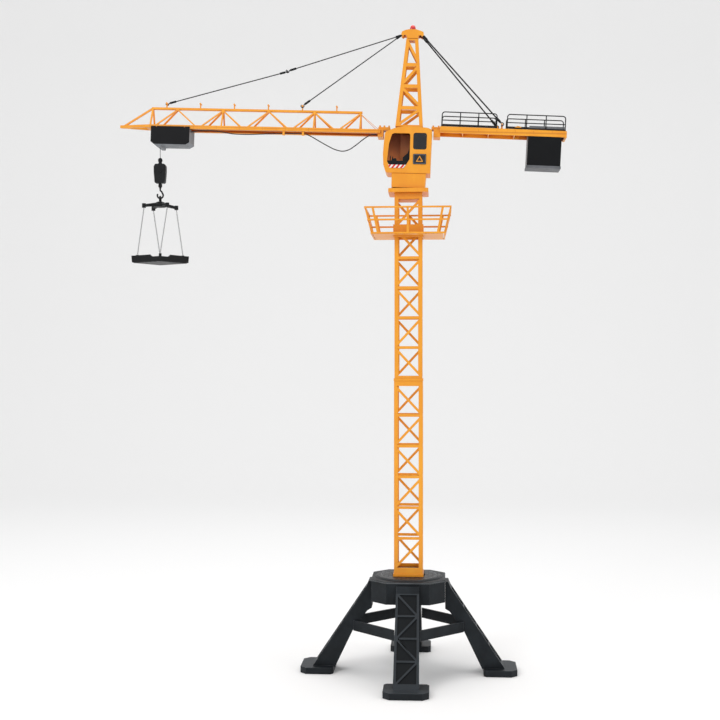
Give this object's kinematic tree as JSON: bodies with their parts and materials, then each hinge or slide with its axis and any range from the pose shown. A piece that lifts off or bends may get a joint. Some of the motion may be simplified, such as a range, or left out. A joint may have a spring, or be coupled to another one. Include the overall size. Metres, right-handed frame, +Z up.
{
  "type": "toy tower crane",
  "caption": "Toy tower crane on four splayed legs: lattice mast, slewing cab and jib, travelling trolley, hoist with hook and hanging pallet, counterweight battery box.",
  "frame": {"origin": "centre of the whole crane's box, on the floor that the feet stand on", "axes": "+Z up along the mast, -X along the jib from the mast, -Y towards the cab's open side"},
  "size_m": [0.83, 0.396, 1.1935],
  "materials": {
    "crane_orange": "satin",
    "base_black": "fine grain",
    "black_plastic": "fine grain",
    "grey_plastic": "fine grain",
    "window_black": "polished",
    "red_lens": "polished",
    "motor_steel": "brushed",
    "chain_steel": "dark",
    "cell_wrap": "satin",
    "gear_nylon": "satin",
    "cable_black": "matt"
  },
  "bodies": {
    "base": {"base_hub": "base_black", "hub_top_disc": "base_black", "leg_front": "base_black", "leg_left": "base_black", "leg_back": "base_black", "leg_right": "base_black", "brace_back_right": "base_black", "brace_back_left": "base_black", "brace_front_left": "base_black", "brace_front_right": "base_black", "mast_lower": "crane_orange", "mast_upper": "crane_orange", "service_platform": "crane_orange", "platform_railing": "crane_orange", "slew_collar": "crane_orange", "slew_ring_gear": "gear_nylon"},
    "turret": {"turret_neck": "crane_orange", "cab_near_half": "crane_orange", "cab_far_half": "crane_orange", "cab_inner_wall": "crane_orange", "window_near": "window_black", "window_far": "window_black", "warning_sign": "window_black", "console_and_seat": "black_plastic", "slew_motor": "motor_steel", "tower_peak": "crane_orange", "peak_head": "crane_orange", "beacon": "red_lens", "jib": "crane_orange", "counter_jib": "crane_orange", "railing_inner_near": "black_plastic", "railing_inner_far": "black_plastic", "railing_outer_near": "black_plastic", "railing_outer_far": "black_plastic", "counterweight_case": "black_plastic", "battery_cover": "grey_plastic", "battery_cell_1": "cell_wrap", "battery_cell_2": "cell_wrap", "jib_stay_upper": "black_plastic", "jib_stay_lower": "black_plastic", "jib_stay_inner": "black_plastic", "counter_stay_near": "black_plastic", "counter_stay_far": "black_plastic", "trolley_cable": "cable_black"},
    "pinion": {"slew_pinion": "gear_nylon"},
    "trolley": {"trolley_near_half": "black_plastic", "trolley_far_half": "black_plastic", "winch_motor": "motor_steel", "hoist_line": "cable_black"},
    "wheels_outer": {"wheelset_outer": "gear_nylon"},
    "wheels_inner": {"wheelset_inner": "gear_nylon"},
    "drum": {"winch_drum": "gear_nylon"},
    "hook_block": {"hook_block": "black_plastic"},
    "hook": {"hook": "black_plastic"},
    "load": {"spreader": "black_plastic", "chain_right": "chain_steel", "chain_back": "chain_steel", "chain_left": "chain_steel", "chain_front": "chain_steel", "pallet": "black_plastic"}
  },
  "joints": [
    {"name": "slew", "type": "hinge", "parent": "base", "child": "turret", "pos_m": [0.127, 0, 0.8933], "axis": [0, 0, 1], "continuous": true},
    {"name": "slew_pinion_spin", "type": "hinge", "parent": "turret", "child": "pinion", "pos_m": [0.127, 0.0183, 0.8933], "axis": [0.0349, 0, 0.9994], "continuous": true},
    {"name": "trolley_travel", "type": "slide", "parent": "turret", "child": "trolley", "axis": [0.9994, 0, -0.0349], "range_m": [0, 0.161], "deforming": ["trolley_cable"]},
    {"name": "outer_wheels_spin", "type": "hinge", "parent": "trolley", "child": "wheels_outer", "pos_m": [-0.34127, 0, 1.00841], "axis": [0, 1, 0], "range_deg": [-60, 5900]},
    {"name": "inner_wheels_spin", "type": "hinge", "parent": "trolley", "child": "wheels_inner", "pos_m": [-0.2883, 0, 1.00656], "axis": [0, 1, 0], "range_deg": [-60, 5900]},
    {"name": "hoist", "type": "slide", "parent": "trolley", "child": "hook_block", "axis": [0, 0, -1], "range_m": [-0.012, 0.68], "deforming": ["hoist_line"]},
    {"name": "drum_spin", "type": "hinge", "parent": "trolley", "child": "drum", "pos_m": [-0.33414, 0, 0.98895], "axis": [0, 1, 0], "range_deg": [-11600, 260]},
    {"name": "hook_swivel", "type": "hinge", "parent": "hook_block", "child": "hook", "pos_m": [-0.339, 0, 0.9], "axis": [0, 0, 1], "continuous": true},
    {"name": "load_swing", "type": "hinge", "parent": "hook", "child": "load", "pos_m": [-0.339, 0, 0.8771], "axis": [1, 0, 0], "range_deg": [-20, 20]}
  ],
  "couplings": [
    {"joint": "slew_pinion_spin", "follows": "slew", "ratio": 2.5},
    {"joint": "outer_wheels_spin", "follows": "trolley_travel", "rad_per_m": 625},
    {"joint": "inner_wheels_spin", "follows": "trolley_travel", "rad_per_m": 625},
    {"joint": "drum_spin", "follows": "hoist", "rad_per_m": -290}
  ]
}
